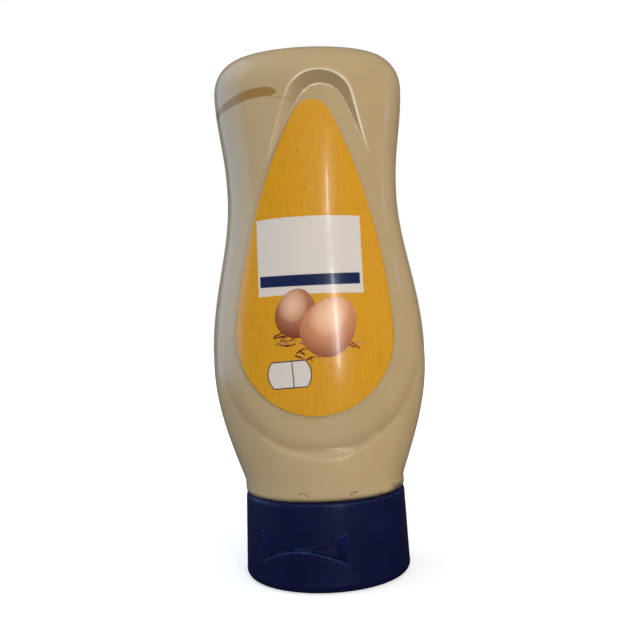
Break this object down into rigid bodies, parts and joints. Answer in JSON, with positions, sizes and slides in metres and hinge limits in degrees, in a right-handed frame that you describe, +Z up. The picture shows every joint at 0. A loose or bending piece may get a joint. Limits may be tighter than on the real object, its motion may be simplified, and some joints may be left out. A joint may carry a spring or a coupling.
{
  "type": "mayonnaise squeeze bottle",
  "caption": "Upside-down squeeze bottle of mayonnaise: clear oval waisted wall, drop-shaped label panels, round flip-top cap that it stands on.",
  "frame": {"origin": "centre of the cap's foot, on the surface that the bottle stands on", "axes": "+Z up along the bottle's axis, from the cap to the top; -Y towards the front label; +X to the right of someone who faces the front"},
  "size_m": [0.079, 0.0614, 0.1912],
  "materials": {
    "clear_wall": "clear glossy squeeze plastic, tinted cream by the contents against it",
    "mayonnaise": "smooth opaque cream-coloured emulsion",
    "cap": "dark navy moulded plastic, satin",
    "label": "printed yellow film, satin gloss"
  },
  "bodies": {
    "root": {"bottle": "clear_wall", "mayonnaise": "mayonnaise", "cap_collar": "cap", "cap_lid": "cap", "label_front": "label", "label_back": "label"}
  },
  "joints": []
}
